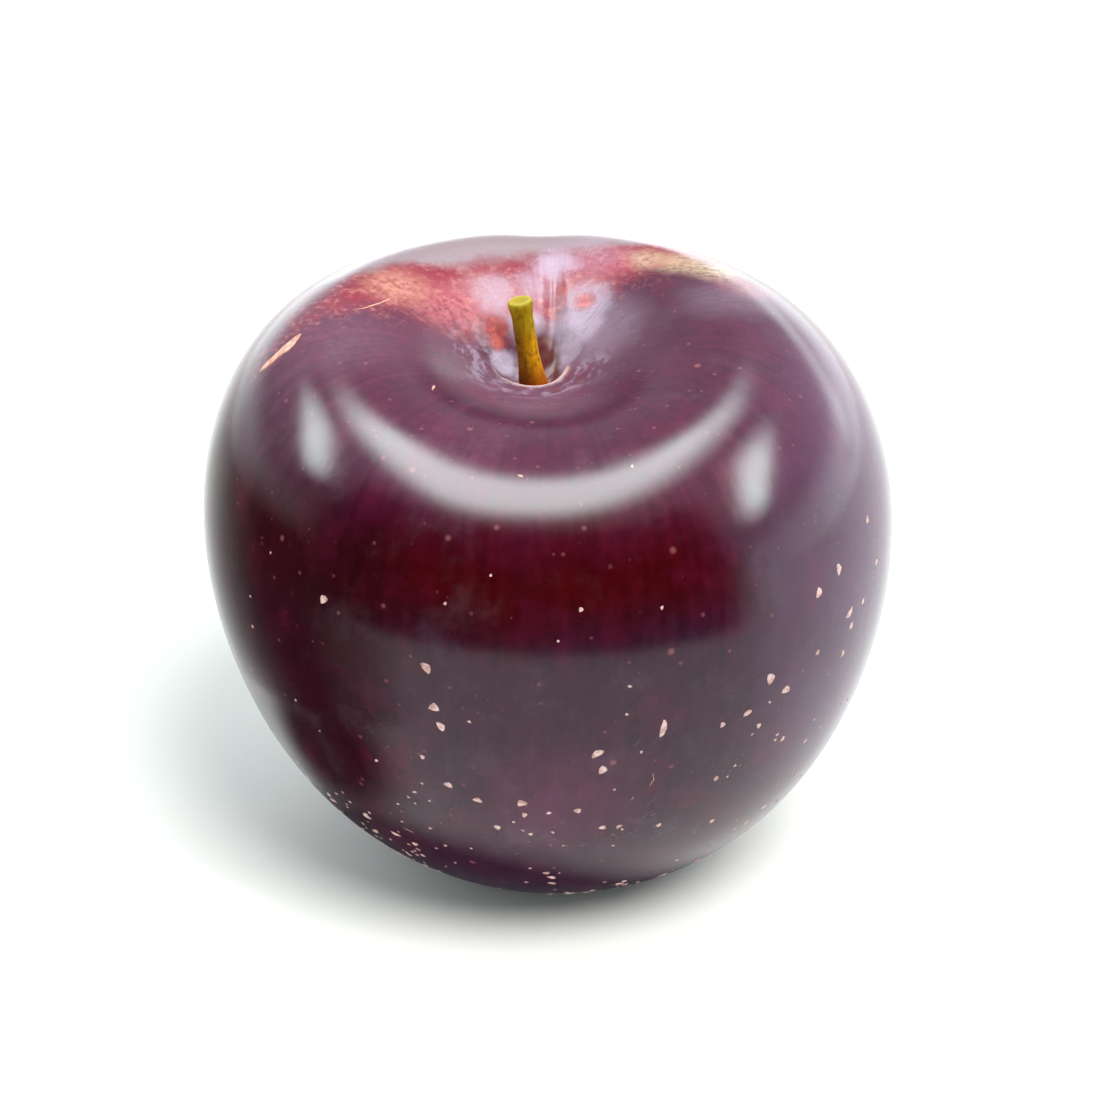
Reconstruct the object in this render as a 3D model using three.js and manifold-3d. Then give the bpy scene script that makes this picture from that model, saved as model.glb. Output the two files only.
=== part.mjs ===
// A ripe dessert plum as picked, standing on its base, with the short stem still set in the cavity on top.
// Millimetres, +Z up. The origin lies on the surface that the plum rests on, under the middle of the fruit.
// +Y points to the side that carries the suture, the shallow seam from the cavity to the base.
import * as THREE from 'three';
import { mergeVertices } from 'three/addons/utils/BufferGeometryUtils.js';
import Module from 'manifold-3d';

// The fruit is drawn from a middle point inside it. Its radius there is a mean and four cosine terms
// of the angle down from the top. The top drops a little towards +X, and the cavity's rim is lower in front.
const fruit = {
  middleHeight: 30.6,
  meanRadius: 31.5,
  topHeavy: 1.1,
  lengthen: 0.3,
  broadShoulders: -0.8,
  square: -0.37,
  cheekSwell: 0.25,
  cheekTurn: 0.5,
  lean: 0.03,
  shoulderDrop: 0.018,
  frontDrop: 0.38,
  frontSoftness: 2.5,
  frontPower: 3,
  segments: 72,
  rings: 46,
  ringCrowding: 1.5,
};

// The cavity round the stem is a wide bowl. It fades out between two angles down from the top.
const cavity = {
  shift: -0.9,
  shiftReach: 16,
  depth: 13,
  width: 15.2,
  power: 1.7,
  fullAbove: 1.15,
  noneBelow: 1.9,
};

// The suture: a shallow groove down the +Y side, as wide at the base as at the top. It starts past the crest.
const suture = {
  depth: 0.8,
  halfWidth: 3.2,
  start: 13,
  fullFrom: 31,
  fadeBottom: 3,
  fadeTop: 30,
};

// The pit at the bottom of the cavity, and the socket below it that holds the foot of the stem. The pit's
// wall is a cone that leaves the skin about 1 mm outside the floor and would reach cutRadius at cutHeight.
const pit = {
  centreX: -1.4,
  floorRadius: 2.4,
  floorHeight: 46.8,
  cutRadius: 5.8,
  cutHeight: 56,
  segments: 48,
};

const stem = {
  length: 11,
  leanAngle: 0.16,
  footRadius: 1.6,
  footReach: 6.5,
  shaftRadius: 1.05,
  cutEndRadius: 1.25,
  flareLength: 1.6,
  bend: 0.15,
  rootDepth: 2,
  clearance: 0.3,
  segments: 18,
  rings: 14,
};

const restingFlat = { cutterWidth: 30, cutterDepth: 3 };

const skinMaterial = new THREE.MeshStandardMaterial({ color: 0x4a1a30, roughness: 0.28, metalness: 0 });
const stemMaterial = new THREE.MeshStandardMaterial({ color: 0x8f7420, roughness: 0.6, metalness: 0 });

const wasm = await Module();
wasm.setup();

// 0 below the first edge, 1 above the second, and smooth between them.
function smoothBetween(first, second, value) {
  return THREE.MathUtils.smoothstep(value, first, second);
}

function bell(distance, width, power = 2) {
  return Math.exp(-Math.pow(Math.abs(distance) / width, power));
}

function profileRadius(polar) {
  return fruit.meanRadius
    + fruit.topHeavy * Math.cos(polar)
    + fruit.lengthen * Math.cos(2 * polar)
    + fruit.broadShoulders * Math.cos(3 * polar)
    + fruit.square * Math.cos(4 * polar);
}

// How far a point lies in front of the middle, and nearly 0 behind it.
function forwardReach(y) {
  return fruit.frontSoftness * Math.log1p(Math.exp(-y / fruit.frontSoftness));
}

function sutureDepth(x, y, z) {
  const alongTop = smoothBetween(suture.start, suture.fullFrom, y);
  const aboveBase = smoothBetween(suture.fadeBottom, suture.fadeTop, z);
  return suture.depth * bell(x, suture.halfWidth) * alongTop * aboveBase;
}

// The point of the skin at an angle down from the top and an angle round from +X.
function skinPoint(polar, around) {
  const swell = fruit.cheekSwell * Math.cos(2 * (around - fruit.cheekTurn)) * Math.sin(polar) ** 2;
  const reach = profileRadius(polar) + swell;
  const out = reach * Math.sin(polar);
  const height = fruit.middleHeight + reach * Math.cos(polar);
  const groove = sutureDepth(out * Math.cos(around), out * Math.sin(around), height);
  const radius = out - groove * Math.sin(polar);
  const point = new THREE.Vector3(radius * Math.cos(around), radius * Math.sin(around), height);
  point.z -= groove * Math.cos(polar);
  const upper = 1 - smoothBetween(cavity.fullAbove, cavity.noneBelow, polar);
  point.x += cavity.shift * bell(radius, cavity.shiftReach) * upper;
  point.z -= cavity.depth * bell(radius, cavity.width, cavity.power) * upper;
  point.z -= fruit.shoulderDrop * point.x * Math.cos(polar) * upper;
  point.z -= fruit.frontDrop * forwardReach(point.y) * Math.cos(polar) ** fruit.frontPower * upper;
  point.x -= fruit.lean * (point.z - fruit.middleHeight);
  return point;
}

function mergedCopy(geometry) {
  const copy = geometry.clone();
  copy.deleteAttribute('normal');
  copy.deleteAttribute('uv');
  return mergeVertices(copy);
}

// A closed geometry as a solid that can be cut.
function toSolid(geometry) {
  const merged = mergedCopy(geometry);
  const corners = merged.index.array;
  const triangles = [];
  for (let i = 0; i < corners.length; i += 3) {
    const [a, b, c] = corners.slice(i, i + 3);
    if (a !== b && b !== c && c !== a) triangles.push(a, b, c);
  }
  return new wasm.Manifold(new wasm.Mesh({
    numProp: 3,
    vertProperties: Float32Array.from(merged.attributes.position.array),
    triVerts: Uint32Array.from(triangles),
  }));
}

function toGeometry(solid) {
  const mesh = solid.getMesh();
  const geometry = new THREE.BufferGeometry();
  geometry.setAttribute('position', new THREE.BufferAttribute(mesh.vertProperties, 3));
  geometry.setIndex(new THREE.BufferAttribute(mesh.triVerts, 1));
  geometry.computeVertexNormals();
  return geometry;
}

// Moves every vertex of a geometry by a rule that returns its new place.
function reshape(geometry, rule) {
  const place = geometry.attributes.position;
  const point = new THREE.Vector3();
  for (let i = 0; i < place.count; i += 1) {
    point.fromBufferAttribute(place, i);
    place.setXYZ(i, ...rule(point).toArray());
  }
  return geometry;
}

// A sphere whose rings crowd towards the cavity, pushed out to the skin.
function skinGeometry() {
  const sphere = new THREE.SphereGeometry(1, fruit.segments, fruit.rings).rotateX(Math.PI / 2);
  return reshape(mergedCopy(sphere), (point) => {
    const share = Math.acos(THREE.MathUtils.clamp(point.z, -1, 1)) / Math.PI;
    return skinPoint(Math.PI * share ** fruit.ringCrowding, Math.atan2(point.y, point.x));
  });
}

// The small flat that the fruit stands on is cut by a block below the surface.
function flatCutter() {
  const { cutterWidth, cutterDepth } = restingFlat;
  return new THREE.BoxGeometry(cutterWidth, cutterWidth, cutterDepth).translate(0, 0, -cutterDepth / 2);
}

// The pit and the socket under it, turned about the stem's own axis.
function pitCutter() {
  const socketRadius = stem.footRadius + stem.clearance;
  const socketDepth = stem.rootDepth + stem.clearance;
  const rise = pit.cutHeight - pit.floorHeight;
  const outline = [
    [0, -socketDepth],
    [socketRadius, -socketDepth],
    [socketRadius, 0],
    [pit.floorRadius, 0],
    [pit.cutRadius, rise],
    [0, rise],
  ].map(([radius, height]) => new THREE.Vector2(radius, height));
  return new THREE.LatheGeometry(outline, pit.segments)
    .rotateX(Math.PI / 2)
    .rotateY(-stem.leanAngle)
    .translate(pit.centreX, 0, pit.floorHeight);
}

function fruitMesh() {
  const solid = toSolid(skinGeometry())
    .subtract(toSolid(flatCutter()))
    .subtract(toSolid(pitCutter()));
  const mesh = new THREE.Mesh(toGeometry(solid), skinMaterial);
  mesh.name = 'fruit';
  return mesh;
}

// The stem's radius: a wide foot, a slimmer shaft and a cut end that flares again.
function stemRadius(height) {
  const foot = 1 - smoothBetween(0, stem.footReach, height);
  const flare = smoothBetween(stem.length - stem.flareLength, stem.length, height);
  return stem.shaftRadius
    + (stem.footRadius - stem.shaftRadius) * foot
    + (stem.cutEndRadius - stem.shaftRadius) * flare;
}

function stemMesh() {
  const rod = new THREE.CylinderGeometry(1, 1, stem.length, stem.segments, stem.rings)
    .rotateX(Math.PI / 2)
    .translate(0, 0, stem.length / 2);
  const geometry = reshape(mergedCopy(rod), (point) => {
    const radius = stemRadius(point.z);
    const sideways = stem.bend * (point.z / stem.length) ** 2;
    return new THREE.Vector3(point.x * radius + sideways, point.y * radius, point.z);
  });
  geometry.computeVertexNormals();
  const mesh = new THREE.Mesh(geometry, stemMaterial);
  mesh.name = 'stem';
  mesh.rotation.y = -stem.leanAngle;
  mesh.position.set(pit.centreX, 0, pit.floorHeight).add(
    new THREE.Vector3(Math.sin(stem.leanAngle), 0, -Math.cos(stem.leanAngle)).multiplyScalar(stem.rootDepth),
  );
  return mesh;
}

const group = new THREE.Group();
group.add(fruitMesh(), stemMesh());

export default group;
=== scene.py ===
import math
from types import SimpleNamespace
import bpy
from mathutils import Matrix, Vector


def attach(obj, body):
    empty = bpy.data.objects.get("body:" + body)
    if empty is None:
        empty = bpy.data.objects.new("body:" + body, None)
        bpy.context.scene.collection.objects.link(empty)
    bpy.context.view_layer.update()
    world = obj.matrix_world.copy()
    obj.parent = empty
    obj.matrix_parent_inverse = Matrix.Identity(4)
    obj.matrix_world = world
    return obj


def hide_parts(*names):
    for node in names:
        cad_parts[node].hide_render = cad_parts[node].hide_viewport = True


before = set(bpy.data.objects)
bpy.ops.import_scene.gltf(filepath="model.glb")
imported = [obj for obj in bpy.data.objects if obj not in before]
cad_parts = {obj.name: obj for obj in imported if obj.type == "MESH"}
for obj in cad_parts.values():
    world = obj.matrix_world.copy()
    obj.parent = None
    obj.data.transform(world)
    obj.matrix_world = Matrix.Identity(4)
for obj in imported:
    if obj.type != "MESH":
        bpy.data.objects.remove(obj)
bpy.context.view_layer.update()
scene = bpy.context.scene
mm = 0.001    # sizes below are in millimetres, +Z up, and the front of the plum looks towards -Y
print("plum: frame loaded")


# Camera

view = {"elevation": 26, "distance": 500, "aimHeight": 31, "lens": 180, "sensor": 36}


def addObject(name, data):
    thing = bpy.data.objects.new(name, data)
    scene.collection.objects.link(thing)
    return thing


def addCamera():
    data = bpy.data.cameras.new("camera")
    data.lens = view["lens"]
    data.sensor_width = view["sensor"]
    camera = addObject("camera", data)
    tilt = math.radians(view["elevation"])
    back = view["distance"] * math.cos(tilt)
    up = view["aimHeight"] + view["distance"] * math.sin(tilt)
    camera.location = Vector((0, -back, up)) * mm
    camera.rotation_euler = (math.pi / 2 - tilt, 0, 0)
    scene.camera = camera


addCamera()
print("plum: camera set")


# A place on a circle round the plum, in degrees from the front.
def onCircle(around, radius):
    return math.sin(math.radians(around)) * radius, -math.cos(math.radians(around)) * radius


# Node helpers

# A number on its way through a node tree, so that a shape or a mask is written as a formula.
class Field:
    def __init__(self, socket):
        self.socket = socket

    def math(self, operation, *others):
        node = self.socket.id_data.nodes.new("ShaderNodeMath")
        node.operation = operation
        for slot, value in zip(node.inputs, (self, *others)):
            plug(slot, value)
        return Field(node.outputs[0])

    def __add__(self, other):
        return self.math("ADD", other)

    def __sub__(self, other):
        return self.math("SUBTRACT", other)

    def __rsub__(self, other):
        return self.math("MULTIPLY", -1) + other

    def __mul__(self, other):
        return self.math("MULTIPLY", other)

    def __truediv__(self, other):
        return self.math("DIVIDE", other)

    def __pow__(self, other):
        return self.math("POWER", other)

    __radd__ = __add__
    __rmul__ = __mul__


# Links a field or a socket to a node's input, or sets a plain value there.
def plug(slot, value):
    if isinstance(value, Field):
        value = value.socket
    if isinstance(value, bpy.types.NodeSocket):
        slot.id_data.links.new(value, slot)
    else:
        slot.default_value = value


# Adds a node with its settings. Its inputs go by name, or by number where a name is used twice.
def addNode(tree, kind, values=None, **settings):
    node = tree.nodes.new(kind)
    for name, value in settings.items():
        setattr(node, name, value)
    for name, value in (values or {}).items():
        if isinstance(name, int):
            slot = node.inputs[name]
        else:
            slot = next(slot for slot in node.inputs if slot.name == name and slot.enabled)
        plug(slot, value)
    return node


# The first output of a new node.
def fromNode(tree, kind, values=None, **settings):
    return addNode(tree, kind, values, **settings).outputs[0]


def sine(angle):
    return angle.math("SINE")


def cosine(angle):
    return angle.math("COSINE")


# 0 at the first edge, 1 at the second, smooth between them, whichever is larger.
def smooth(value, first, second):
    tree = value.socket.id_data
    values = {"Value": value, "From Min": first, "From Max": second}
    return Field(fromNode(tree, "ShaderNodeMapRange", values, interpolation_type="SMOOTHSTEP"))


def bell(distance, width, power=2):
    return ((distance.math("ABSOLUTE") / width) ** power * -1).math("EXPONENT")


def vector(tree, x, y, z):
    return fromNode(tree, "ShaderNodeCombineXYZ", {"X": x, "Y": y, "Z": z})


def coordinates(tree, place):
    return [Field(out) for out in addNode(tree, "ShaderNodeSeparateXYZ", {"Vector": place}).outputs]


def vectorMath(tree, operation, first, second):
    node = addNode(tree, "ShaderNodeVectorMath", {0: first, 1: second}, operation=operation)
    return Field(node.outputs["Value"]) if operation in ("DOT_PRODUCT", "DISTANCE") else node.outputs[0]


def scaled(tree, place, factor):
    return fromNode(tree, "ShaderNodeVectorMath", {0: place, "Scale": factor}, operation="SCALE")


def noise(tree, place, size, detail=2.0, roughness=0.5):
    values = {"Vector": place, "Scale": size ** -1, "Detail": detail, "Roughness": roughness}
    return Field(fromNode(tree, "ShaderNodeTexNoise", values))


# A geometry tree with an input for its geometry and one for each size, and the fields that come out of them.
def startTree(name, sizes):
    kinds = {int: "NodeSocketInt", float: "NodeSocketFloat", bpy.types.Material: "NodeSocketMaterial",
             bpy.types.Object: "NodeSocketObject"}
    tree = bpy.data.node_groups.new(name, "GeometryNodeTree")
    tree.interface.new_socket("geometry", in_out="INPUT", socket_type="NodeSocketGeometry")
    tree.interface.new_socket("geometry", in_out="OUTPUT", socket_type="NodeSocketGeometry")
    for title, value in sizes.items():
        tree.interface.new_socket(title, in_out="INPUT", socket_type=kinds[type(value)])
    source = tree.nodes.new("NodeGroupInput")
    fields = SimpleNamespace(**{slot.name: Field(slot) for slot in source.outputs if slot.name})
    return tree, fields


def placed(tree, geometry, place):
    return fromNode(tree, "GeometryNodeSetPosition", {"Geometry": geometry, "Position": place})


def moved(tree, geometry, step):
    return fromNode(tree, "GeometryNodeSetPosition", {"Geometry": geometry, "Offset": step})


# Closes a tree: what repeats is made real and takes its material.
def endTree(tree, geometry, material):
    real = fromNode(tree, "GeometryNodeRealizeInstances", {"Geometry": geometry})
    even = fromNode(tree, "GeometryNodeSetShadeSmooth", {"Geometry": real})
    painted = fromNode(tree, "GeometryNodeSetMaterial", {"Geometry": even, "Material": material})
    addNode(tree, "NodeGroupOutput", {0: painted})


# Runs a tree on a new object and keeps the result as that object's plain mesh.
def makePiece(name, tree, sizes, start=None):
    piece = addObject(name, start or bpy.data.meshes.new(name))
    modifier = piece.modifiers.new(name, "NODES")
    modifier.node_group = tree
    for item in tree.interface.items_tree:
        if item.in_out == "INPUT" and item.name in sizes:
            modifier[item.identifier] = sizes[item.name]
    graph = bpy.context.evaluated_depsgraph_get()
    mesh = bpy.data.meshes.new_from_object(piece.evaluated_get(graph))
    piece.modifiers.remove(modifier)
    piece.data = mesh
    mesh.name = name
    print("plum:", name, "made,", sum(len(face.vertices) - 2 for face in mesh.polygons), "triangles")
    return piece


# Sizes of the fruit, for its shape and for its material

fruitSizes = {
    "segments": 384,
    "rings": 256,
    "ringCrowding": 1.8,
    "middleHeight": 30.6,
    "meanRadius": 31.5,
    "topHeavy": 1.1,
    "lengthen": 0.3,
    "broadShoulders": -0.8,
    "square": -0.37,
    "cheekSwell": 0.25,
    "cheekTurn": 0.5,
    "lean": 0.03,
    "shoulderDrop": 0.018,
    "frontDrop": 0.38,
    "frontSoftness": 2.5,
    "frontPower": 3.0,
    "cavityShift": -0.9,
    "shiftReach": 16.0,
    "cavityDepth": 13.0,
    "cavityWidth": 15.2,
    "cavityPower": 1.7,
    "cavityFull": 1.15,
    "cavityNone": 1.9,
    "sutureDepth": 0.8,
    "sutureHalfWidth": 3.2,
    "sutureStart": 13.0,
    "sutureFull": 31.0,
    "sutureFoot": 3.0,
    "sutureTop": 30.0,
    "pitX": -1.4,
    "pitNone": 42.0,
    "pitFull": 45.0,
    "pitFloor": 46.8,
    "pitFloorRadius": 1.5,
    "pitMouth": 3.1,
    "pitBack": 3.6,
    "pitSide": 0.7,
    "pitCurve": 1.25,
    "stemLean": 0.161,
    "lipHeight": 0.2,
    "lipWidth": 0.3,
    "lipOut": 0.2,
    "wrinkleDepth": 0.045,
    "wrinkleSpacing": 0.8,
    "wrinkleStart": 0.8,
    "wrinkleRadius": 5.0,
    "wrinkleReach": 2.4,
    "creaseDepth": 0.45,
    "creaseHalfWidth": 0.8,
    "creaseX": 0.3,
    "lumpDepth": 0.09,
    "lumpSize": 12.0,
}


# Materials

skinColours = {
    "wine": (0.052, 0.0003, 0.0015),
    "purple": (0.026, 0.001, 0.014),
    "low": (0.032, 0.005, 0.02),
    "leftLow": (0.024, 0.001, 0.004),
    "base": (0.008, 0.002, 0.005),
    "warm": (0.085, 0.012, 0.045),
    "shoulder": (0.058, 0.004, 0.024),
    "leftShoulder": (0.1, 0.014, 0.042),
    "magenta": (0.1, 0.004, 0.026),
    "haze": (0.13, 0.11, 0.14),
    "bloom": (0.37, 0.28, 0.37),
    "edgeHaze": (0.42, 0.21, 0.45),
    "red": (0.26, 0.012, 0.03),
    "pink": (0.42, 0.1, 0.12),
    "orange": (0.5, 0.21, 0.15),
    "cream": (0.5, 0.36, 0.23),
    "pit": (0.09, 0.004, 0.003),
    "spot": (0.22, 0.012, 0.01),
    "ember": (0.48, 0.055, 0.03),
    "crest": (0.31, 0.265, 0.28),
    "lip": (0.62, 0.4, 0.34),
    "speckle": (0.5, 0.2, 0.16),
    "dots": (0.42, 0.13, 0.13),
}
skinGloss = {"roughness": 0.17, "bloomRoughness": 0.55, "index": 1.41, "sheen": 0.1, "sheenRoughness": 0.3,
             "sheenTint": (0.8, 0.88, 1)}

# The ground colour shows through behind the cavity, down the back: a red zone, with pale places in it.
# Each patch: its colour, centre, reach, softness of its edge, how far that wanders, and its strength.
groundPatches = [
    ("pink", (-9, 4.8, 52.9), 3.4, 2, 6, 0.75), ("orange", (-14, 5.8, 54.8), 2.8, 1.8, 5, 0.85),
    ("pink", (5.5, 12.5, 54.3), 3, 2, 5, 0.5), ("cream", (9, 12.1, 54.8), 1.8, 1.2, 3, 0.8),
    ("cream", (12, 11.2, 54.8), 2.1, 1.2, 3, 0.85), ("cream", (15, 9.6, 54.4), 2.2, 1.4, 3, 0.8),
    ("pink", (17.5, 6.8, 54.1), 2.2, 1.8, 4, 0.55), ("pink", (-14, 27, 38), 8, 5, 14, 0.5),
    ("orange", (12, 27, 40), 5, 4, 12, 0.5),
]

# A warmer place low on the front, and a lighter one on the left shoulder.
warmPatches = [("warm", (1, -28, 20), 5, 4.5, 10, 0.75), ("leftShoulder", (-8, -19, 50), 4.5, 4, 10, 0.6)]

# Where the waxy bloom lies thick, bare red spots in it, and the painted shade of the dark red hollow behind
# the foot of the stem.
bloomPatches = [
    ((0.6, 12.3, 54), 1.7, 1.6, 6, 0.95), ((-1.5, 9.8, 53), 1.6, 1.6, 5, 0.55),
    ((-4.9, 8.2, 52.7), 1.6, 1.4, 7, 0.6), ((2.5, 4.6, 50.9), 2.5, 1.4, 6, 0.72),
    ((3.5, 7, 52.3), 2.2, 1.6, 5, 0.7), ((1.5, 2.6, 49.3), 1.8, 0.7, 3, 0.8),
    ((-4.2, 2.9, 48.3), 1.3, 0.6, 3, 1), ((-2.2, 5.6, 50.6), 1.6, 0.8, 2, 0.7),
    ((4, 13.5, 54.2), 3, 2.5, 6, 0.3), ((4.8, 3, 51.4), 3.6, 3, 5, 0.3),
    ((16, 4, 54.4), 3.5, 3, 5, 0.22), ((22.5, -6, 50.5), 6, 5, 8, 0.05),
    ((-18.5, -4, 53.5), 4.5, 4, 7, 0.12),
]
redSpots = [
    ((3.1, 7.3, 52.5), 0.85, 0.7, 2.5, 0.85), ((-4.9, 4.9, 50.8), 1, 0.5, 3, 0.95),
    ((-4.8, 4.1, 49.7), 0.7, 0.3, 1, 0.9), ((1.1, 8.9, 52.6), 0.45, 0.3, 1.5, 0.7),
]
hollowShades = [
    ((-0.6, 4.2, 49.5), 1.1, 0.4, 1, 1), ((-0.4, 3.3, 48.4), 1.5, 0.4, 1, 1),
    ((-0.6, 2, 47.2), 1.7, 0.4, 1, 1),
]

# Soft edges of the colours, as the place where each starts and the place where it is full. The last letter
# is the direction, or Out for the distance from the stem.
skinEdges = {
    "purpleX": (8, 26), "lowZ": (41, 34), "leftLowX": (-9, -19), "leftLowY": (14, -4), "shoulderZ": (42, 51),
    "leftShoulderX": (-3, -14), "leftShoulderZ": (46, 54), "topZ": (46, 53), "redY": (4.5, 9.5),
    "redZ": (22, 44), "redX": (-25, -19), "speckleY": (2.5, 9), "speckleZ": (20, 40), "speckleOut": (5, 7),
    "speckleX": (-30, -20), "wispZ": (31, 24), "crestY": (12, 15), "crestX": (21, 14), "rightX": (15, 29),
    "rightZ": (8, 22), "wornZ": (44, 47), "crackX": (-4, -5.2), "crackY": (5, 3), "frontY": (1, -1.5),
    "mouthZ": (47, 48), "baseZ": (5.5, 2.5),
}

# How much of each colour shows at most, and how dull the worn skin is.
skinShares = {
    "leftLow": 0.85, "magenta": 0.45, "magentaTop": 0.2, "thinHaze": 0.12, "red": 0.85, "speckle": 0.6,
    "corkSpeckle": 0.7, "smallFreckle": 0.7, "freckle": 0.4, "wisp": 0.3, "crest": 0.85, "edgeHaze": 0.16,
    "thinBloom": 0.01, "paleCrack": 0.4, "darkCrack": 0.6, "lip": 0.8, "base": 0.8, "worn": 0.8,
}

# Noises of the skin: size, detail and roughness.
skinNoises = {
    "broad": (9, 3.0, 0.5), "clouds": (5.5, 4.0, 0.6), "wandering": (2.4, 6.0, 0.75), "fine": (0.6, 3.0, 0.6),
    "grain": (0.7, 3.0, 0.65), "thin": (4, 2.0, 0.5),
}

# Middles, half widths and powers of the bands: the painted highlight along the crest goes by its height, the
# worn and the cracked skin by the distance from the stem, and the lip by the distance from the mouth of the
# pit.
skinBands = {"crest": (55, 1.1, 4), "worn": (0, 9, 3), "cracks": (5, 2.2, 4), "lip": (0.15, 0.22, 2)}
stemX = -1.75    # where the stem's axis passes the mouth of the pit


def startMaterial(name):
    material = bpy.data.materials.new(name)
    material.use_nodes = True
    tree = material.node_tree
    return material, tree, tree.nodes["Principled BSDF"]


# The piece's own place in millimetres, which no pose changes.
def ownPlace(tree):
    return scaled(tree, addNode(tree, "ShaderNodeTexCoord").outputs["Object"], 1 / mm)


def mixColour(tree, share, first, second, blend="MIX"):
    first, second = [(*colour, 1) if isinstance(colour, tuple) else colour for colour in (first, second)]
    node = addNode(tree, "ShaderNodeMix", {0: share, 6: first, 7: second}, data_type="RGBA", blend_type=blend)
    return node.outputs[2]


# 1 within a reach of a centre and 0 well outside it, with an edge that wanders.
def patchShare(tree, place, wandering, centre, reach, edge, wander, strength):
    away = vectorMath(tree, "DISTANCE", place, centre) + wandering * wander
    return smooth(away, reach + edge, reach - edge) * strength


# Round dots scattered in cells of a given size. Only some cells hold one, and each has its own radius.
def dots(tree, place, cell, radius, share):
    node = addNode(tree, "ShaderNodeTexVoronoi", {"Vector": place, "Scale": 1 / cell, "Randomness": 1.0})
    parts = addNode(tree, "ShaderNodeSeparateColor", {"Color": node.outputs["Color"]}).outputs
    chance = Field(parts[0])
    reach = (Field(parts[1]) * 0.7 + 0.3) * (radius / cell)
    spot = (reach - Field(node.outputs["Distance"])) * (cell / radius * 1.6)
    return spot.math("MINIMUM", 1).math("MAXIMUM", 0) * (share - chance).math("GREATER_THAN", 0)


# Streaks that run from the stem to the base, the same all the way round.
def streaks(tree, x, y, z, across, along):
    away = (x * x + y * y).math("SQRT") + 0.5
    place = vector(tree, x / away * across, y / away * across, z / along)
    return noise(tree, place, 1, detail=4.0, roughness=0.6)


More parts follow.
